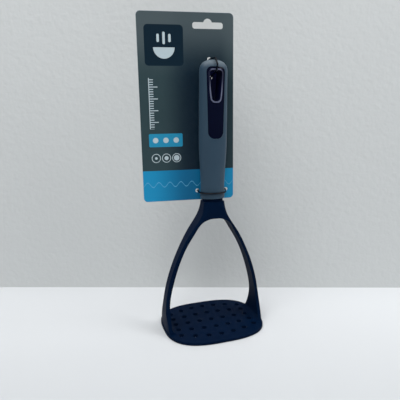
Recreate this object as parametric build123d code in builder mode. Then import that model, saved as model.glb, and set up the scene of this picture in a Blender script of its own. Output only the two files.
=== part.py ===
from build123d import *
from math import acos, asin, atan2, cos, pi, radians, sin, sqrt
import os

os.makedirs("parts", exist_ok=True)

# A potato masher: a perforated nylon head on an arched neck, a soft-grip handle with a
# hanging hole, and the card that it is sold on, held by two wire ties.
# Lengths are in millimetres. X runs along the arch, -Y is the front and Z is up.
# The origin is the middle of the mashing plate's underside.

# Mashing plate
plate_length = 115.0
plate_width = 92.4
plate_thickness = 3.5
plate_roundness = 2.86
plate_outline_points = 48
plate_edge_radius = 0.8

# Mashing holes: the rows draw together towards the ends of the plate
hole_diameter = 6.0
hole_columns = 7
hole_rows = 5
column_pitch = 14.3
middle_row_pitch = 16.7
outer_row_pitch = 12.1
hole_grid_shift = 0.6

# Arch: two blades that flare into feet on the plate and close in a crown under the neck
foot_inset = 0.9
foot_depth = 41.0
leg_depth = 14.8
leg_thickness = 4.8
toe_radius = 6.0
crown_web = 17.7
crown_depth = 23.4
shoulder_height = 145.3
shoulder_width = 23.6

# Neck collar between the arch's shoulder and the grip
collar_width = 23.4
collar_depth = 17.6
collar_side_radius = 6.0
collar_reveal = 3.4
collar_seat = 2.7

# Tang inside the handle, up to a gap under the hanging hole, with two cross holes that the
# core's plastic fills
tang_width = 13.0
tang_depth = 8.0
tang_tip_width = 10.0
tang_tip_depth = 6.0
tang_tip_gap = 14.1
tang_corner_radius = 1.5
tang_key_diameter = 4.6
tang_key_first = 24.0
tang_key_pitch = 36.0

# Handle
handle_length = 143.8
handle_width = 30.6
handle_depth = 20.8
dome_height = 12.0
dome_roundness = 2.4
grip_wall = 2.4
grip_lip_radius = 1.2

# Glossy inlays set in windows on the front and back of the grip
inlay_top_gap = 7.5
inlay_length = 72.1
inlay_top_width = 20.2
inlay_bottom_width = 16.5
inlay_top_radius = 5.0
inlay_bottom_radius = 7.0
inlay_recess = 0.35
inlay_clearance = 0.05

# Trim sleeve that lines the hanging hole
sleeve_top_gap = 1.9
sleeve_length = 33.6
sleeve_top_width = 16.1
sleeve_middle_width = 14.7
sleeve_bottom_width = 10.7
sleeve_top_radius = 4.5
sleeve_bottom_radius = 5.0
sleeve_wall = 1.3
sleeve_recess = 0.1
sleeve_clearance = 0.05

# Hang card, behind the handle. It is turned a little about it and rolled a little in its own
# plane, and it rises above the handle's top and drops below the lower tie.
card_width = 100.6
card_top_rise = 47.1
card_foot_drop = 10.8
card_thickness = 0.6
card_corner_radius = 4.5
card_gap = 0.8
card_turn = -7.6
card_roll = 1.0
card_handle_shift = 25.3

# Hook slot in the card
slot_width = 32.0
slot_height = 6.4
slot_corner_radius = 2.4
slot_crown_radius = 4.6
slot_crown_rise = 3.5
slot_edge_gap = 12.8
slot_shift = 2.4

# Wire ties, and the holes in the card that they pass. The lower tie's height is counted from
# the handle's bottom, and the upper and inner holes' from its top.
tie_diameter = 1.8
tie_clearance = 0.2
tie_bend_radius = 2.0
bend_ease_share = 0.96
tie_hole_diameter = 4.2
inner_hole_diameter = 3.2
lower_tie_rise = 6.7
lower_hole_reach = 16.3
lower_tie_tail = 13.0
upper_hole_rise = 1.4
upper_hole_shift = -1.2
inner_hole_drop = 17.0
inner_hole_shift = 0.4
upper_tie_tail = 12.0

# The upper tie's corners in front of the card: X, Y and height above the handle's top
upper_tie_corners = [
    (0.2, 3.0, 1.8),
    (-0.2, -6.6, 1.0),
    (0.6, -10.6, -5.3),
    (-0.6, -10.3, -12.15),
]

# Arch sections: height share, span share, flare share, swell share and corner share. The
# span grows from the shoulder's width (0) to the plate's (1), the depth is the leg's plus the
# foot's flare and the crown's swell, and the corner is a share of half the depth.
arch_section_shares = [
    (0.012, 1.000, 1.000, 0.00, 0.12),
    (0.103, 0.987, 0.490, 0.00, 0.16),
    (0.206, 0.965, 0.125, 0.00, 0.22),
    (0.344, 0.898, 0.000, 0.00, 0.26),
    (0.516, 0.733, 0.000, 0.02, 0.25),
    (0.688, 0.490, 0.000, 0.15, 0.26),
    (0.791, 0.293, 0.000, 0.56, 0.28),
    (0.860, 0.139, 0.000, 0.90, 0.32),
    (0.926, 0.037, 0.000, 0.98, 0.42),
    (1.000, 0.000, 0.000, 0.63, 0.54),
]

# Inner edge of a leg, from above its toe to the crown: shares of the opening's half width
# and height
opening_shares = [
    (1.000, 0.150),
    (0.996, 0.240),
    (0.932, 0.392),
    (0.792, 0.588),
    (0.577, 0.784),
    (0.431, 0.885),
    (0.319, 0.955),
    (0.243, 0.979),
    (0.131, 0.996),
    (0.000, 1.000),
]

# Handle sections below the dome: share of the height to the dome, width share and depth share
handle_section_shares = [
    (0.000, 0.872, 1.000),
    (0.028, 0.884, 1.005),
    (0.082, 0.855, 0.990),
    (0.158, 0.869, 0.980),
    (0.226, 0.901, 0.980),
    (0.310, 0.953, 0.990),
    (0.386, 0.985, 1.000),
    (0.501, 1.000, 1.000),
    (0.653, 1.000, 0.980),
    (0.806, 0.993, 0.945),
    (0.920, 0.987, 0.915),
    (1.000, 0.984, 0.895),
]
dome_rise_shares = (0.25, 0.48, 0.68, 0.84, 0.94, 0.985)
side_radius_share = 0.85

# Worked out from the sizes above
arch_half_span = plate_length / 2
crown_height = shoulder_height - crown_web
opening_half_width = arch_half_span - foot_inset - leg_thickness
collar_top = shoulder_height + collar_reveal + collar_seat
handle_bottom = shoulder_height + collar_reveal
handle_top = handle_bottom + handle_length
inlay_top = handle_top - inlay_top_gap
inlay_bottom = inlay_top - inlay_length
sleeve_top = inlay_top - sleeve_top_gap
sleeve_bottom = sleeve_top - sleeve_length
tang_length = sleeve_bottom - tang_tip_gap - collar_top
lower_tie_height = handle_bottom + lower_tie_rise
card_top = handle_top + card_top_rise
card_height = card_top - (lower_tie_height - card_foot_drop)
card_middle_height = card_top - card_height / 2
tie_radius = tie_diameter / 2
tie_stand_off = tie_radius + tie_clearance


def plate_outline(inset):
    """The mashing plate's outline, a superellipse through points evenly spaced in angle."""
    rim = []
    for step in range(plate_outline_points):
        angle = 2 * pi * step / plate_outline_points
        along = abs(cos(angle) / (plate_length / 2 - inset)) ** plate_roundness
        across = abs(sin(angle) / (plate_width / 2 - inset)) ** plate_roundness
        reach = (along + across) ** (-1 / plate_roundness)
        rim.append((reach * cos(angle), reach * sin(angle)))
    with BuildSketch() as outline:
        with BuildLine():
            Spline(*rim, periodic=True)
        make_face()
    return outline.sketch


def face_radius(half_width, half_depth, side_radius):
    """Radius of an oval's front and back arcs, tangent to the arcs at its sides."""
    flat = half_width - side_radius
    return (flat**2 + half_depth**2 - side_radius**2) / (2 * (half_depth - side_radius))


def oval(half_width, half_depth, side_radius):
    """An oval of four arcs, each tangent to the next."""
    front_radius = face_radius(half_width, half_depth, side_radius)
    flat = half_width - side_radius
    join_x = flat * front_radius / (front_radius - side_radius)
    join_y = (front_radius - half_depth) * side_radius / (front_radius - side_radius)
    with BuildSketch() as section:
        with BuildLine():
            ThreePointArc((-join_x, -join_y), (0, -half_depth), (join_x, -join_y))
            ThreePointArc((join_x, -join_y), (half_width, 0), (join_x, join_y))
            ThreePointArc((join_x, join_y), (0, half_depth), (-join_x, join_y))
            ThreePointArc((-join_x, join_y), (-half_width, 0), (-join_x, -join_y))
        make_face()
    return section.sketch


def handle_sections(inset):
    """Height, half width and half depth of the handle's sections, set in from its surface."""
    sections = []
    for height_share, width_share, depth_share in handle_section_shares:
        height = handle_bottom + height_share * (handle_length - dome_height)
        half_width = width_share * handle_width / 2 - inset
        half_depth = depth_share * handle_depth / 2 - inset
        sections.append((height, half_width, half_depth))
    base_height, base_width, base_depth = sections[-1]
    for share in dome_rise_shares:
        height = base_height + share * (dome_height - inset)
        spread = (1 - share**dome_roundness) ** (1 / dome_roundness)
        sections.append((height, base_width * spread, base_depth * spread))
    return sections


def handle_form(inset):
    """The handle's outer form, set in from its surface."""
    with BuildPart() as form:
        for height, half_width, half_depth in handle_sections(inset):
            with BuildSketch(Plane.XY.offset(height)):
                add(oval(half_width, half_depth, side_radius_share * half_depth))
        loft()
        if inset:
            split(bisect_by=Plane.XY.offset(collar_top), keep=Keep.TOP)
    return form.part


grip_form = handle_form(0)
core_form = handle_form(grip_wall)
inlay_form = handle_form(inlay_recess)
sleeve_form = handle_form(sleeve_recess)
collar_section = oval(collar_width / 2, collar_depth / 2, collar_side_radius)

# Tongue-shaped outline of the inlays
with BuildSketch() as inlay_outline:
    with BuildLine():
        Polyline(
            (-inlay_top_width / 2, inlay_top),
            (inlay_top_width / 2, inlay_top),
            (inlay_bottom_width / 2, inlay_bottom),
            (-inlay_bottom_width / 2, inlay_bottom),
            close=True,
        )
    make_face()
    fillet(inlay_outline.vertices().group_by(Axis.Y)[-1], radius=inlay_top_radius)
    fillet(inlay_outline.vertices().group_by(Axis.Y)[0], radius=inlay_bottom_radius)

# Outline of the hanging hole's sleeve, with slightly bowed sides
with BuildSketch() as sleeve_outline:
    right_side = [
        (sleeve_top_width / 2, sleeve_top),
        (sleeve_middle_width / 2, (sleeve_top + sleeve_bottom) / 2),
        (sleeve_bottom_width / 2, sleeve_bottom),
    ]
    with BuildLine():
        Line((0, sleeve_top), right_side[0])
        ThreePointArc(*right_side)
        Line(right_side[-1], (0, sleeve_bottom))
        mirror(about=Plane.YZ)
    make_face()
    fillet(sleeve_outline.vertices().group_by(Axis.Y)[-1], radius=sleeve_top_radius)
    fillet(sleeve_outline.vertices().group_by(Axis.Y)[0], radius=sleeve_bottom_radius)

# The tang as a plain tapering bar, and the round keys of core plastic that pass through it
with BuildPart() as tang_bar:
    with BuildSketch(Plane.XY.offset(collar_top)):
        RectangleRounded(tang_width, tang_depth, tang_corner_radius)
    with BuildSketch(Plane.XY.offset(collar_top + tang_length)):
        RectangleRounded(tang_tip_width, tang_tip_depth, tang_corner_radius)
    loft()

with BuildPart() as tang_keys:
    with BuildSketch(Plane.XZ):
        with Locations((0, collar_top + tang_key_first + tang_key_pitch / 2)):
            with GridLocations(tang_key_pitch, tang_key_pitch, 1, 2):
                Circle(tang_key_diameter / 2)
    extrude(amount=tang_depth / 2, both=True)


# Arch: a hood over the plate, opened between the legs and trimmed to the plate's outline
with BuildPart() as arch:
    for height_share, span_share, flare_share, swell_share, corner_share in arch_section_shares:
        half_span = shoulder_width / 2 + span_share * (arch_half_span - shoulder_width / 2)
        flare = flare_share * (foot_depth - leg_depth)
        swell = swell_share * (crown_depth - leg_depth)
        depth = leg_depth + flare + swell
        with BuildSketch(Plane.XY.offset(height_share * shoulder_height)):
            RectangleRounded(2 * half_span, depth, corner_share * depth / 2)
    loft()
    toe_start = (opening_half_width - toe_radius, plate_thickness)
    toe_end = (opening_half_width, plate_thickness + toe_radius)
    inner_edge = [(opening_half_width * x, crown_height * z) for x, z in opening_shares]
    with BuildSketch(Plane.XZ):
        with BuildLine():
            Line((0, plate_thickness), toe_start)
            TangentArc(toe_start, toe_end, tangent=(1, 0))
            Line(toe_end, inner_edge[0])
            Spline(*inner_edge, tangents=[(0, 1), (-1, 0)])
            mirror(about=Plane.YZ)
        make_face()
    extrude(amount=foot_depth, both=True, mode=Mode.SUBTRACT)
    with BuildSketch():
        add(plate_outline(foot_inset))
    extrude(amount=shoulder_height, mode=Mode.INTERSECT)

# Masher head: plate, arch, collar and tang in one nylon moulding
with BuildPart() as masher_head:
    with BuildSketch():
        add(plate_outline(0))
    extrude(amount=plate_thickness)
    fillet(masher_head.edges(), radius=plate_edge_radius)
    add(arch.part)

    with BuildSketch(Plane.XY.offset(shoulder_height - collar_seat)):
        add(collar_section)
    extrude(amount=collar_seat + collar_reveal + collar_seat)
    add(tang_bar.part)
    add(tang_keys.part, mode=Mode.SUBTRACT)

    middle_column = (hole_columns - 1) / 2
    middle_row = (hole_rows - 1) / 2
    hole_places = []
    for column in range(hole_columns):
        off_middle = (column - middle_column) / middle_column
        row_pitch = middle_row_pitch - (middle_row_pitch - outer_row_pitch) * off_middle**2
        for row in range(hole_rows):
            hole_x = (column - middle_column) * column_pitch
            hole_y = hole_grid_shift + (row - middle_row) * row_pitch
            hole_places.append((hole_x, hole_y))
    with BuildSketch():
        with Locations(*hole_places):
            Circle(hole_diameter / 2)
    extrude(amount=plate_thickness, mode=Mode.SUBTRACT)
masher_head.part.label = "masher_head"
export_step(masher_head.part, "parts/masher_head.step")


# Handle core: hard plastic moulded round the tang, under the soft grip
with BuildPart() as handle_core:
    add(core_form)
    add(tang_bar.part, mode=Mode.SUBTRACT)
    add(tang_keys.part)
    with BuildSketch(Plane.XZ):
        add(sleeve_outline.sketch)
    extrude(amount=handle_depth, both=True, mode=Mode.SUBTRACT)
handle_core.part.label = "handle_core"
export_step(handle_core.part, "parts/handle_core.step")


# Grip sleeve: the soft skin over the core, with a window at the front and the back
with BuildPart() as grip_sleeve:
    add(grip_form)
    fillet(grip_sleeve.edges().group_by(Axis.Z)[0], radius=grip_lip_radius)
    add(core_form, mode=Mode.SUBTRACT)
    with BuildSketch(Plane.XY.offset(handle_bottom)):
        add(collar_section)
    extrude(amount=collar_seat, mode=Mode.SUBTRACT)
    with BuildSketch(Plane.XZ):
        add(inlay_outline.sketch)
    extrude(amount=handle_depth, both=True, mode=Mode.SUBTRACT)
grip_sleeve.part.label = "grip_sleeve"
export_step(grip_sleeve.part, "parts/grip_sleeve.step")


def inlay(reach):
    """Fill the grip's window round the hanging hole, as far as reach to the front."""
    with BuildPart() as insert:
        add(inlay_form)
        add(core_form, mode=Mode.SUBTRACT)
        with BuildSketch(Plane.XZ):
            add(inlay_outline.sketch)
            offset(amount=-inlay_clearance, mode=Mode.REPLACE)
        extrude(amount=reach, mode=Mode.INTERSECT)
        with BuildSketch(Plane.XZ):
            add(sleeve_outline.sketch)
            offset(amount=sleeve_clearance, mode=Mode.REPLACE)
        extrude(amount=reach, mode=Mode.SUBTRACT)
    return insert.part


front_form = inlay(handle_depth)
with BuildPart() as front_inlay:
    add(front_form)
front_inlay.part.label = "front_inlay"
export_step(front_inlay.part, "parts/front_inlay.step")

back_form = inlay(-handle_depth)
with BuildPart() as back_inlay:
    add(back_form)
back_inlay.part.label = "back_inlay"
export_step(back_inlay.part, "parts/back_inlay.step")


# Hanging hole sleeve: a pale tube through the core, flush with the grip on both sides
with BuildPart() as hole_sleeve:
    with BuildSketch(Plane.XZ):
        add(sleeve_outline.sketch)
        offset(sleeve_outline.sketch, amount=-sleeve_wall, mode=Mode.SUBTRACT)
    extrude(amount=handle_depth, both=True)
    add(sleeve_form, mode=Mode.INTERSECT)
hole_sleeve.part.label = "hole_sleeve"
export_step(hole_sleeve.part, "parts/hole_sleeve.step")


# Hang card: on its front, local X runs across and local Y runs up, from the card's middle
turn = radians(card_turn)
card_face_dir = Vector(sin(turn), -cos(turn), 0)
card_level_dir = Vector(cos(turn), sin(turn), 0)
card_across_dir = card_level_dir.rotate(Axis((0, 0, 0), card_face_dir), card_roll)
card_middle = (
    card_face_dir * -(handle_depth / 2 + card_gap)
    - card_level_dir * card_handle_shift
    + Vector(0, 0, card_middle_height)
)
card_plane = Plane(card_middle, x_dir=card_across_dir, z_dir=card_face_dir)
lower_hole_drop = card_middle_height - lower_tie_height + card_handle_shift * sin(radians(card_roll))
top_rise = handle_top - card_middle_height
tie_holes = [
    (card_handle_shift - lower_hole_reach, -lower_hole_drop),
    (card_handle_shift + lower_hole_reach, -lower_hole_drop),
    (card_handle_shift + upper_hole_shift, top_rise + upper_hole_rise),
    (card_handle_shift + inner_hole_shift, top_rise - inner_hole_drop),
]

with BuildPart() as hang_card:
    with BuildSketch(card_plane):
        RectangleRounded(card_width, card_height, card_corner_radius)
        slot_x = card_handle_shift - slot_shift
        slot_y = card_height / 2 - slot_edge_gap
        crown_y = slot_y + slot_height / 2 + slot_crown_rise - slot_crown_radius
        with Locations((slot_x, slot_y)):
            RectangleRounded(slot_width, slot_height, slot_corner_radius, mode=Mode.SUBTRACT)
        with Locations((slot_x, crown_y)):
            Circle(slot_crown_radius, mode=Mode.SUBTRACT)
        with Locations(*tie_holes[:3]):
            Circle(tie_hole_diameter / 2, mode=Mode.SUBTRACT)
        with Locations(tie_holes[3]):
            Circle(inner_hole_diameter / 2, mode=Mode.SUBTRACT)
    extrude(amount=-card_thickness)
hang_card.part.label = "hang_card"
export_step(hang_card.part, "parts/hang_card.step")


def behind_card(across, up):
    """A point of a tie's route behind the card, across and up from the card's middle."""
    return card_plane.from_local_coords(Vector(across, up, -card_thickness - tie_stand_off))


def wire(name, corners, radii):
    """A tie's wire: straight runs between the corners, with a tangent bend at each."""
    with BuildPart() as strand:
        with BuildLine() as path:
            FilletPolyline(*corners, radius=radii)
        route = path.wire()
        with BuildSketch(Plane(route @ 0, z_dir=route % 0)):
            Circle(tie_radius)
        sweep(path=route)
    print(name, "cord radius", tie_radius, "bend radii", [round(bend, 2) for bend in radii])
    print(name, "length", round(route.length, 1))
    return strand.part


# Lower tie: round the grip, back through two holes of the card, and down behind it
wrap_half_width = handle_section_shares[1][1] * handle_width / 2
wrap_half_depth = handle_section_shares[1][2] * handle_depth / 2
wrap_side_radius = side_radius_share * wrap_half_depth
wrap_face_radius = face_radius(wrap_half_width, wrap_half_depth, wrap_side_radius)
wrap_flat = wrap_half_width - wrap_side_radius
wrap_face_middle = wrap_face_radius - wrap_half_depth
wrap_face_angle = asin(wrap_flat / (wrap_face_radius - wrap_side_radius))
side_bend = wrap_side_radius + tie_stand_off
face_bend = wrap_face_radius + tie_stand_off


def side_corner(side, hole):
    """The wire's corner beside the grip, where it leaves for a hole of the card."""
    out = side * hole.X - wrap_flat
    leave_angle = atan2(hole.Y, out) - acos(side_bend / sqrt(out**2 + hole.Y**2))
    join_angle = wrap_face_angle - pi / 2
    half_sweep = (leave_angle - join_angle) / 2
    reach = side_bend / cos(half_sweep)
    along = join_angle + half_sweep
    return Vector(side * (wrap_flat + reach * cos(along)), reach * sin(along), lower_tie_height)


left_hole = behind_card(*tie_holes[0])
right_hole = behind_card(*tie_holes[1])
tail_shift = tie_stand_off
lower_corners = [
    behind_card(card_handle_shift - tail_shift, -lower_hole_drop - lower_tie_tail),
    behind_card(card_handle_shift - tail_shift, -lower_hole_drop),
    left_hole,
    side_corner(-1, left_hole),
    Vector(0, wrap_face_middle - face_bend / cos(wrap_face_angle), lower_tie_height),
    side_corner(1, right_hole),
    right_hole,
    behind_card(card_handle_shift + tail_shift, -lower_hole_drop),
    behind_card(card_handle_shift + tail_shift, -lower_hole_drop - lower_tie_tail),
]
lower_bends = [
    tie_bend_radius,
    tie_bend_radius,
    bend_ease_share * side_bend,
    bend_ease_share * face_bend,
    bend_ease_share * side_bend,
    tie_bend_radius,
    tie_bend_radius,
]
lower_wire = wire("lower_tie", lower_corners, lower_bends)
with BuildPart() as lower_tie:
    add(lower_wire)
lower_tie.part.label = "lower_tie"
export_step(lower_tie.part, "parts/lower_tie.step")


# Upper tie: from the card over the dome, back through the hanging hole and the card again
upper_x, upper_y = tie_holes[2]
inner_x, inner_y = tie_holes[3]
upper_corners = [
    behind_card(upper_x, inner_y - upper_tie_tail),
    behind_card(upper_x, upper_y),
    *[Vector(x, y, handle_top + rise) for x, y, rise in upper_tie_corners],
    behind_card(inner_x, inner_y),
    behind_card(inner_x, inner_y - upper_tie_tail),
]
upper_wire = wire("upper_tie", upper_corners, [tie_bend_radius] * (len(upper_corners) - 2))
with BuildPart() as upper_tie:
    add(upper_wire)
upper_tie.part.label = "upper_tie"
export_step(upper_tie.part, "parts/upper_tie.step")
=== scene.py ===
import bpy
from math import cos, radians, sin
from mathutils import Matrix, Vector

# A potato masher with its retail card, standing on a white table before a pale wall.
# Lengths are in metres, in the part's own frame: X along the arch, -Y the front, Z up.
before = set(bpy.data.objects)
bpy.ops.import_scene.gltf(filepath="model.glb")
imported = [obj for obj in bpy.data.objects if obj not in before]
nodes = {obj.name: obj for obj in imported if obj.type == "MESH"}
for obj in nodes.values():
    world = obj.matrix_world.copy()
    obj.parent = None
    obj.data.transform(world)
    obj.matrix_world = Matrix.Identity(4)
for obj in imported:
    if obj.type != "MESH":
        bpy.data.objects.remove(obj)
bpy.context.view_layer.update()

mm = 0.001
up_axis = Vector((0, 0, 1))

# Camera, fitted to the photograph's 400 x 400 frame
camera_place = Vector((-148.31, -403.38, 237.15)) * mm
camera_aim = Vector((0.30845, 0.92829, -0.20771))
camera_roll = radians(-0.07)
camera_lens = 36.0
camera_sensor = 36.0
camera_clip_start = 10 * mm

# Room: the wall stands square to the camera's line of sight, at the table's far edge
wall_distance = 525 * mm
room_reach = 4000 * mm
sight = Vector((camera_aim.x, camera_aim.y, 0)).normalized()
beside = Vector((sight.y, -sight.x, 0))
wall_foot = Vector((camera_place.x, camera_place.y, 0)) + sight * wall_distance

# Painted light: the table's colour grows paler from one distance to another one from the wall
table_light_fade_start = 300 * mm
table_light_fade_end = 30 * mm

# Light: each lamp's place, the point that it faces, its side and its power in watts
lamps = {
    "ceiling_light": ((-0.30, -0.10, 1.60), (-0.1, 0.1, 0.1), 1.6, 17.0),
    "right_light": ((0.90, -0.50, 1.00), (0, 0, 0.15), 0.9, 9.5),
    "left_light": ((-0.70, -0.60, 1.35), (0, 0, 0.15), 1.2, 11.0),
}
air_color = (0.80, 0.86, 0.92)
air_strength = 0.22

# The handle's sizes, as the part's source sets them
handle_depth = 20.8 * mm
handle_top = 292.5 * mm

# How far under the handle's top its dome turns pale with a painted highlight, and how far from the
# handle's middle the hole's trim turns from painted shade inside the hole to pale at its rim
dome_highlight_fade = (8.5 * mm, 2 * mm)
trim_shade_fade = (8.4 * mm, 8.7 * mm)

# The card's place and sizes, as the part's source sets them
card_width = 100.6 * mm
card_height = 195.0 * mm
card_thickness = 0.6 * mm
card_corner = 4.5 * mm
card_gap = 0.8 * mm
card_turn = radians(-7.6)
card_roll = radians(1.0)
card_handle_shift = 25.3 * mm
card_middle_height = 242.1 * mm
card_face_dir = Vector((sin(card_turn), -cos(card_turn), 0))
card_side_dir = Vector((cos(card_turn), sin(card_turn), 0))
card_middle = (
    card_face_dir * -(handle_depth / 2 + card_gap)
    - card_side_dir * card_handle_shift
    + up_axis * card_middle_height
)
card_rolling = Matrix.Rotation(card_roll, 3, card_face_dir)
card_across = card_rolling @ card_side_dir
card_up = card_rolling @ up_axis

# The card's print, in places across and up from its middle.
# First where its ground changes colour: the spans where the handle's painted shadow begins, ends and
# fades upwards
handle_shadow_left_fade = (-30 * mm, 5 * mm)
handle_shadow_right_fade = (34 * mm, 48 * mm)
handle_shadow_right_share = 0.35
handle_shadow_top_fade = (28 * mm, 92 * mm)
handle_shadow_top_share = 0.12
slate_top_fade = (30 * mm, 80 * mm)
fiber_share = 0.08
cut_edge_width = 0.25 * mm

# Blue band across the card's foot, darker in the middle with the handle's painted shadow, with a wave
# whose rate is in radians per metre
band_height = -63.5 * mm
band_shadow_reach = 46 * mm
wave_height = -79 * mm
wave_swing = 2.6 * mm
wave_rate = 520
wave_line = 0.9 * mm

# Dark tile with a bowl, and three bars over the bowl
tile_middle = (-23 * mm, 65 * mm)
tile_half = (20 * mm, 20 * mm)
tile_corner = 4 * mm
bowl_radius = 11 * mm
bowl_drop = 2 * mm
bar_rise = 7 * mm
bar_pitch = 6 * mm
bar_half_width = 1.3 * mm
bar_half_length = 6 * mm
bar_half_length_step = 2 * mm
bar_corner = 1.2 * mm

# Ruler, with the pitch and the length of its short ticks and its long ones
ruler_left = -40 * mm
ruler_middle = 7 * mm
ruler_half = 26 * mm
spine_half_width = 0.4 * mm
tick_half_width = 0.45 * mm
tick_rows = ((2.4 * mm, 4.5 * mm), (12 * mm, 9 * mm))

# Blue panel with three discs, and three rings with a dot under it
panel_middle = (-24 * mm, -31 * mm)
panel_half = (18 * mm, 7 * mm)
panel_corner = 1.5 * mm
disc_pitch = 11 * mm
disc_radius = 2.9 * mm
rings_height = -50 * mm
ring_radius = 4.5 * mm
ring_line = 0.7 * mm
dot_radius = 2.2 * mm
dot_radius_step = 0.8 * mm

# Painted shade: a dark field on the card behind the hanging hole
hole_shade_rise = 26 * mm
hole_shade_half = (8 * mm, 18 * mm)
hole_shade_corner = 4 * mm

# Colours in linear red, green and blue. Tones are a surface's two mottled colours
nylon_tones = ((0.0005, 0.0056, 0.0215), (0.0011, 0.0078, 0.0270))
grip_tones = ((0.0195, 0.047, 0.078), (0.0245, 0.055, 0.088))
# Painted highlight: the pale colour that light from above lays on the grip's dome, and its share
dome_highlight_color = (0.125, 0.160, 0.185)
dome_highlight_share = 0.75
sheen_color = (0.7, 0.82, 0.9)
inlay_tones = ((0.0016, 0.0026, 0.0125), (0.0024, 0.0040, 0.0170))
trim_rim_tones = ((0.098, 0.110, 0.176), (0.118, 0.132, 0.206))
# Painted shade inside the hanging hole
trim_shade_tones = ((0.0006, 0.0024, 0.0260), (0.0010, 0.0034, 0.0320))
core_tones = ((0.006, 0.008, 0.012), (0.010, 0.013, 0.018))
tie_tones = ((0.0008, 0.0022, 0.0060), (0.0014, 0.0032, 0.0080))
board_tones = ((0.26, 0.27, 0.27), (0.34, 0.35, 0.35))
cut_edge_color = (0.42, 0.47, 0.50)
slate_color = (0.029, 0.056, 0.064)
slate_top_color = (0.074, 0.100, 0.110)
# Painted shadow that the handle casts on the card
handle_shadow_color = (0.0010, 0.0125, 0.0270)
fiber_color = (0.09, 0.11, 0.12)
# The band's blue, darkened in the middle with the handle's painted shadow, and at its sides
band_shadow_color = (0.004, 0.140, 0.300)
band_side_color = (0.012, 0.275, 0.520)
wave_color = (0.10, 0.38, 0.60)
tile_color = (0.0020, 0.0145, 0.0280)
panel_color = (0.020, 0.270, 0.460)
marks_color = (0.50, 0.60, 0.64)
# Painted shade behind the hanging hole
hole_shade_color = (0.0004, 0.0020, 0.0400)
wall_color = (0.630, 0.648, 0.645)
table_color = (0.545, 0.560, 0.576)
# Painted light on the table near the wall
table_painted_light_color = (0.690, 0.705, 0.722)
cloud_color = (0.80, 0.80, 0.80)
cloud_share = 0.06

# A noise runs from 0 to 1, and lies mostly between these
noise_low = 0.3
noise_high = 0.7

# A colour mix node's input sockets for its two colours, and its output socket for their mix
mix_inputs = (6, 7)
mix_output = 2


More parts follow.
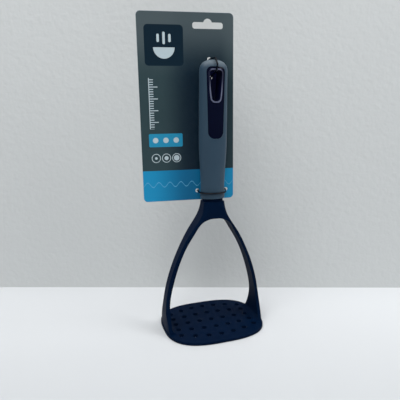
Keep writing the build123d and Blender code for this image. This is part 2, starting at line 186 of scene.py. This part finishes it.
class Shader:
    """A material whose nodes are added one by one, with the sockets that feed them."""

    def __init__(self, name):
        self.material = bpy.data.materials.new(name)
        self.material.use_nodes = True
        self.tree = self.material.node_tree
        self.bsdf = self.tree.nodes["Principled BSDF"]
        coordinates = self.tree.nodes.new("ShaderNodeTexCoord")
        self.place = coordinates.outputs["Object"]

    def feed(self, entry, value):
        """Feed an input with another node's socket, or with a value of its own."""
        if isinstance(value, bpy.types.NodeSocket):
            self.tree.links.new(value, entry)
        elif entry.type == "RGBA":
            entry.default_value = (*value, 1.0)
        else:
            entry.default_value = value

    def set(self, key, value):
        """Feed one of the surface's own inputs."""
        self.feed(self.bsdf.inputs[key], value)

    def node(self, kind, values=(), **settings):
        """Add a node, set its properties and feed its inputs."""
        made = self.tree.nodes.new(kind)
        for key, value in settings.items():
            setattr(made, key, value)
        for key, value in dict(values).items():
            self.feed(made.inputs[key], value)
        return made

    def math(self, operation, first, second=0.0, third=0.0):
        """One sum on numbers or sockets."""
        values = {0: first, 1: second, 2: third}
        return self.node("ShaderNodeMath", values, operation=operation).outputs[0]

    def noise(self, scale, detail=2):
        """Noise whose scale is counted per metre."""
        values = {"Vector": self.place, "Scale": scale, "Detail": detail}
        return self.node("ShaderNodeTexNoise", values).outputs["Fac"]

    def span(self, value, low, high, to_low, to_high, smooth=False):
        """Map a value's span onto another one, held at its ends."""
        values = {"Value": value, "From Min": low, "From Max": high, "To Min": to_low, "To Max": to_high}
        kind = "SMOOTHSTEP" if smooth else "LINEAR"
        return self.node("ShaderNodeMapRange", values, interpolation_type=kind).outputs["Result"]

    def mix(self, share, first, second):
        """Mix two colours by a share from 0 to 1."""
        made = self.node("ShaderNodeMix", {"Factor": share}, data_type="RGBA")
        for key, value in zip(mix_inputs, (first, second)):
            self.feed(made.inputs[key], value)
        return made.outputs[mix_output]

    def mottle(self, cloud, fleck, fleck_share):
        """Clouds with flecks over them, spread over the whole span from 0 to 1."""
        clouds = self.math("MULTIPLY", cloud, 1 - fleck_share)
        flecks = self.math("MULTIPLY", fleck, fleck_share)
        return self.span(self.math("ADD", clouds, flecks), noise_low, noise_high, 0, 1)

    def roughen(self, noise, low, high, from_low=noise_low, from_high=noise_high):
        """Roughness that follows a noise between two values."""
        self.set("Roughness", self.span(noise, from_low, from_high, low, high))

    def bump(self, height, depth, strength):
        """Bump from a height map, whose full height is the depth."""
        values = {"Height": height, "Distance": depth, "Strength": strength}
        self.set("Normal", self.node("ShaderNodeBump", values).outputs["Normal"])

    def along(self, direction, origin=Vector((0, 0, 0))):
        """How far a point lies along a direction from an origin."""
        away = self.node("ShaderNodeVectorMath", {0: self.place, 1: origin}, operation="SUBTRACT")
        values = {0: away.outputs[0], 1: direction}
        return self.node("ShaderNodeVectorMath", values, operation="DOT_PRODUCT").outputs["Value"]

    def box_reach(self, x, y, middle, half, corner=0.0):
        """Distance from a round-cornered box's outline, less than zero inside."""
        away_x = self.math("ABSOLUTE", self.math("SUBTRACT", x, middle[0]))
        away_y = self.math("ABSOLUTE", self.math("SUBTRACT", y, middle[1]))
        out_x = self.math("SUBTRACT", away_x, half[0] - corner)
        out_y = self.math("SUBTRACT", away_y, half[1] - corner)
        corner_x = self.math("MAXIMUM", out_x, 0)
        corner_y = self.math("MAXIMUM", out_y, 0)
        square = self.math("MULTIPLY_ADD", corner_x, corner_x, self.math("MULTIPLY", corner_y, corner_y))
        inside = self.math("MINIMUM", self.math("MAXIMUM", out_x, out_y), 0)
        reach = self.math("ADD", self.math("SQRT", square), inside)
        return self.math("SUBTRACT", reach, corner)

    def disc_reach(self, x, y, middle, radius):
        """Distance from a circle, less than zero inside."""
        away_x = self.math("SUBTRACT", x, middle[0])
        away_y = self.math("SUBTRACT", y, middle[1])
        square = self.math("MULTIPLY_ADD", away_x, away_x, self.math("MULTIPLY", away_y, away_y))
        return self.math("SUBTRACT", self.math("SQRT", square), radius)

    def filled(self, reach):
        """1 inside a shape, 0 outside."""
        return self.math("LESS_THAN", reach, 0)

    def outlined(self, reach, width):
        """1 on a shape's outline."""
        return self.math("LESS_THAN", self.math("ABSOLUTE", reach), width / 2)

    def largest(self, shares):
        """The largest of some shares: shapes that are printed in one colour."""
        result = shares[0]
        for share in shares[1:]:
            result = self.math("MAXIMUM", result, share)
        return result


def nylon():
    """Satin moulded nylon: black with a blue cast, faintly mottled, with a fine spark-eroded grain."""
    shader = Shader("nylon")
    cloud = shader.noise(scale=28, detail=3)
    tone = shader.mottle(cloud, shader.noise(scale=900), fleck_share=0.3)
    shader.set("Base Color", shader.mix(tone, *nylon_tones))
    shader.roughen(cloud, low=0.42, high=0.52)
    shader.set("IOR", 1.09)
    shader.bump(shader.noise(scale=2600), depth=0.05 * mm, strength=0.25)
    return shader.material


def soft_grip():
    """Soft-touch skin: slate grey, matt, paler on the dome with a painted highlight, with a faint sheen
    and a fine grain.
    """
    shader = Shader("soft_grip")
    cloud = shader.noise(scale=35, detail=3)
    tone = shader.mottle(cloud, shader.noise(scale=1500), fleck_share=0.4)
    fade_start, fade_end = (handle_top - fade for fade in dome_highlight_fade)
    # Painted highlight on the dome, fading in under the handle's top
    dome = shader.span(shader.along(up_axis), fade_start, fade_end, 0, dome_highlight_share, smooth=True)
    shader.set("Base Color", shader.mix(dome, shader.mix(tone, *grip_tones), dome_highlight_color))
    shader.roughen(cloud, low=0.46, high=0.56)
    shader.set("Specular IOR Level", 0.30)
    shader.set("Sheen Weight", 0.05)
    shader.set("Sheen Roughness", 0.5)
    shader.set("Sheen Tint", sheen_color)
    shader.bump(shader.noise(scale=3200), depth=0.05 * mm, strength=0.35)
    return shader.material


def gloss_inlay():
    """Glossy black plastic with faint wiping marks."""
    shader = Shader("gloss_inlay")
    cloud = shader.noise(scale=60, detail=4)
    shader.set("Base Color", shader.mix(cloud, *inlay_tones))
    shader.roughen(cloud, low=0.10, high=0.17, from_low=0.35, from_high=0.65)
    shader.set("Specular IOR Level", 0.12)
    shader.bump(shader.noise(scale=140), depth=0.02 * mm, strength=0.2)
    return shader.material


def hole_trim():
    """Satin plastic, pale at the hole's rim, and dark with painted shade inside the hole."""
    shader = Shader("hole_trim")
    cloud = shader.noise(scale=120, detail=3)
    from_middle = shader.math("ABSOLUTE", shader.along(Vector((0, 1, 0))))
    rim = shader.span(from_middle, *trim_shade_fade, 0, 1, smooth=True)
    # Painted shade inside the hole, giving way to the pale rim
    inner_shade = shader.mix(cloud, *trim_shade_tones)
    shader.set("Base Color", shader.mix(rim, inner_shade, shader.mix(cloud, *trim_rim_tones)))
    shader.roughen(cloud, low=0.34, high=0.44)
    shader.bump(shader.noise(scale=1800), depth=0.03 * mm, strength=0.2)
    return shader.material


def core_plastic():
    """Hard plastic under the grip, which shows only in the seams."""
    shader = Shader("core_plastic")
    cloud = shader.noise(scale=80, detail=3)
    shader.set("Base Color", shader.mix(cloud, *core_tones))
    shader.roughen(cloud, low=0.45, high=0.6)
    shader.bump(shader.noise(scale=1200), depth=0.05 * mm, strength=0.3)
    return shader.material


def tie_plastic():
    """Wire in a glossy black coating."""
    shader = Shader("tie_plastic")
    cloud = shader.noise(scale=400)
    shader.set("Base Color", shader.mix(cloud, *tie_tones))
    shader.roughen(cloud, low=0.12, high=0.20)
    shader.set("Specular IOR Level", 0.14)
    shader.bump(shader.noise(scale=700), depth=0.05 * mm, strength=0.3)
    return shader.material


def bowl_marks(shader, across, up):
    """A half round bowl with three upright bars over it, the middle one longest."""
    rim_height = tile_middle[1] - bowl_drop
    bowl = shader.disc_reach(across, up, (tile_middle[0], rim_height), bowl_radius)
    marks = [shader.math("MULTIPLY", shader.filled(bowl), shader.math("LESS_THAN", up, rim_height))]
    for place in (-1, 0, 1):
        middle = (tile_middle[0] + place * bar_pitch, tile_middle[1] + bar_rise)
        half = (bar_half_width, bar_half_length - bar_half_length_step * abs(place))
        marks.append(shader.filled(shader.box_reach(across, up, middle, half, bar_corner)))
    return marks


def ruler_marks(shader, across, up):
    """An upright ruler: a line with short ticks, and a longer one at every fifth."""
    spine = shader.box_reach(across, up, (ruler_left, ruler_middle), (spine_half_width, ruler_half))
    marks = [shader.filled(spine)]
    for pitch, length in tick_rows:
        tick = shader.math("LESS_THAN", shader.math("PINGPONG", up, pitch / 2), tick_half_width)
        middle = (ruler_left + length / 2, ruler_middle)
        row = shader.box_reach(across, up, middle, (length / 2, ruler_half))
        marks.append(shader.math("MULTIPLY", tick, shader.filled(row)))
    return marks


def disc_marks(shader, across, up):
    """Discs in the blue panel, and rings under it, each round a larger dot than the last."""
    marks = []
    for place in (-1, 0, 1):
        column = panel_middle[0] + place * disc_pitch
        disc = shader.disc_reach(across, up, (column, panel_middle[1]), disc_radius)
        ring = shader.disc_reach(across, up, (column, rings_height), ring_radius)
        dot = shader.disc_reach(across, up, (column, rings_height), dot_radius + place * dot_radius_step)
        marks += [shader.filled(disc), shader.outlined(ring, ring_line), shader.filled(dot)]
    return marks


def card_ground(shader, across, up, fiber):
    """Slate, paler above, darkened towards the handle with its painted shadow, and faint fibres all
    over.
    """
    left = shader.span(across, *handle_shadow_left_fade, 0, 1, smooth=True)
    right = shader.span(across, *handle_shadow_right_fade, 1, handle_shadow_right_share, smooth=True)
    top = shader.span(up, *handle_shadow_top_fade, 1, handle_shadow_top_share, smooth=True)
    # Painted shadow of the handle on the card's ground
    shadow_share = shader.math("MULTIPLY", shader.math("MULTIPLY", left, right), top)
    slate_top = shader.span(up, *slate_top_fade, 0, 1, smooth=True)
    ground = shader.mix(shadow_share, shader.mix(slate_top, slate_color, slate_top_color), handle_shadow_color)
    return shader.mix(shader.math("MULTIPLY", fiber, fiber_share), ground, fiber_color)


def card_band(shader, across, up, ground):
    """A blue band across the foot, darker in the middle with the handle's painted shadow, with a lighter
    wave along it.
    """
    # Painted shadow of the handle, fading out towards the band's sides
    side = shader.span(shader.math("ABSOLUTE", across), 0, band_shadow_reach, 0, 1, smooth=True)
    blue = shader.mix(side, band_shadow_color, band_side_color)
    face = shader.mix(shader.math("LESS_THAN", up, band_height), ground, blue)
    swing = shader.math("SINE", shader.math("MULTIPLY", across, wave_rate))
    rise = shader.math("ADD", shader.math("MULTIPLY", swing, wave_swing), wave_height)
    wave = shader.outlined(shader.math("SUBTRACT", up, rise), wave_line)
    return shader.mix(wave, face, wave_color)


def card_print():
    """Coated card: slate over a blue band in front, with plain shapes and painted shade from the handle,
    and grey board behind.
    """
    shader = Shader("card_print")
    across = shader.along(card_across, card_middle)
    up = shader.along(card_up, card_middle)
    depth = shader.along(card_face_dir, card_middle)
    fiber = shader.noise(scale=240, detail=4)
    face = card_band(shader, across, up, card_ground(shader, across, up, fiber))

    # Dark tile, blue panel and a dark field of painted shade behind the hanging hole, with the pale
    # marks over the tile and the panel
    tile = shader.box_reach(across, up, tile_middle, tile_half, tile_corner)
    face = shader.mix(shader.filled(tile), face, tile_color)
    panel = shader.box_reach(across, up, panel_middle, panel_half, panel_corner)
    face = shader.mix(shader.filled(panel), face, panel_color)
    marks = [make(shader, across, up) for make in (bowl_marks, ruler_marks, disc_marks)]
    face = shader.mix(shader.largest(sum(marks, [])), face, marks_color)
    hole_shade_reach = shader.box_reach(across, up, (card_handle_shift, hole_shade_rise), hole_shade_half, hole_shade_corner)
    face = shader.mix(shader.filled(hole_shade_reach), face, hole_shade_color)

    # Bare board at the cut edge and on the back
    edge = shader.box_reach(across, up, (0, 0), (card_width / 2, card_height / 2), card_corner)
    face = shader.mix(shader.math("GREATER_THAN", edge, -cut_edge_width), face, cut_edge_color)
    behind = shader.math("LESS_THAN", depth, -card_thickness / 2)
    shader.set("Base Color", shader.mix(behind, face, shader.mix(fiber, *board_tones)))
    shader.roughen(fiber, low=0.36, high=0.46)
    shader.set("Specular IOR Level", 0.18)
    shader.bump(fiber, depth=0.1 * mm, strength=0.12)
    return shader.material


def room_finish(shader, color, roughness, grain_depth):
    """Faint clouds over a colour, and a grain."""
    clouds = shader.math("MULTIPLY", shader.noise(scale=3, detail=3), cloud_share)
    shader.set("Base Color", shader.mix(clouds, color, cloud_color))
    shader.set("Roughness", roughness)
    shader.set("Specular IOR Level", 0.2)
    shader.bump(shader.noise(scale=150, detail=3), grain_depth, strength=0.5)


def table_top():
    """White laminate with a barely uneven surface, made palest towards the wall with painted light."""
    shader = Shader("table_top")
    away = shader.along(sight, wall_foot)
    # Painted light, growing towards the wall
    light_share = shader.span(away, -table_light_fade_start, -table_light_fade_end, 0, 1, smooth=True)
    color = shader.mix(light_share, table_color, table_painted_light_color)
    room_finish(shader, color, roughness=0.6, grain_depth=0.05 * mm)
    return shader.material


def wall_paint():
    """Matt paint over a rough plaster grain, clear from behind so that the part shows from there."""
    shader = Shader("wall_paint")
    room_finish(shader, wall_color, roughness=0.8, grain_depth=1.2 * mm)
    behind = shader.node("ShaderNodeNewGeometry").outputs["Backfacing"]
    clear = shader.node("ShaderNodeBsdfTransparent").outputs["BSDF"]
    values = {0: behind, 1: shader.bsdf.outputs["BSDF"], 2: clear}
    either = shader.node("ShaderNodeMixShader", values).outputs["Shader"]
    shader.tree.links.new(either, shader.tree.nodes["Material Output"].inputs["Surface"])
    return shader.material


finishes = {
    "masher_head": nylon(),
    "handle_core": core_plastic(),
    "grip_sleeve": soft_grip(),
    "front_inlay": gloss_inlay(),
    "hole_sleeve": hole_trim(),
    "hang_card": card_print(),
    "lower_tie": tie_plastic(),
}
finishes["back_inlay"] = finishes["front_inlay"]
finishes["upper_tie"] = finishes["lower_tie"]
for name, node in nodes.items():
    node.data.materials.clear()
    node.data.materials.append(finishes[name])


def flat_panel(name, start, first_side, second_side, material):
    """A rectangle of the room, from one corner along two sides."""
    corners = [start, start + first_side, start + first_side + second_side, start + second_side]
    mesh = bpy.data.meshes.new(name)
    mesh.from_pydata([tuple(corner) for corner in corners], [], [(0, 1, 2, 3)])
    mesh.materials.append(material)
    panel = bpy.data.objects.new(name, mesh)
    bpy.context.scene.collection.objects.link(panel)


room_left = wall_foot - beside * room_reach
room_width = beside * 2 * room_reach
flat_panel("table", room_left, -sight * 2 * room_reach, room_width, table_top())
flat_panel("wall", room_left, room_width, up_axis * room_reach, wall_paint())


def lamp(name, place, target, side, power):
    """A soft square lamp that faces a point."""
    data = bpy.data.lights.new(name, "AREA")
    data.shape = "SQUARE"
    data.size = side
    data.energy = power
    light = bpy.data.objects.new(name, data)
    light.location = place
    light.rotation_euler = (Vector(target) - Vector(place)).to_track_quat("-Z", "Y").to_euler()
    bpy.context.scene.collection.objects.link(light)


for name, settings in lamps.items():
    lamp(name, *settings)

# Room air: dim light all round
world = bpy.data.worlds.new("room_air")
world.use_nodes = True
air = world.node_tree.nodes["Background"]
air.inputs["Color"].default_value = (*air_color, 1.0)
air.inputs["Strength"].default_value = air_strength
bpy.context.scene.world = world

camera_data = bpy.data.cameras.new("photo_camera")
camera_data.lens = camera_lens
camera_data.sensor_width = camera_sensor
camera_data.sensor_fit = "HORIZONTAL"
camera_data.clip_start = camera_clip_start
camera = bpy.data.objects.new("photo_camera", camera_data)
camera.location = camera_place
look = camera_aim.to_track_quat("-Z", "Y")
roll = Matrix.Rotation(camera_roll, 4, camera_aim)
camera.matrix_world = Matrix.Translation(camera_place) @ roll @ look.to_matrix().to_4x4()
bpy.context.scene.collection.objects.link(camera)
bpy.context.scene.camera = camera
bpy.context.scene.view_settings.view_transform = "Standard"
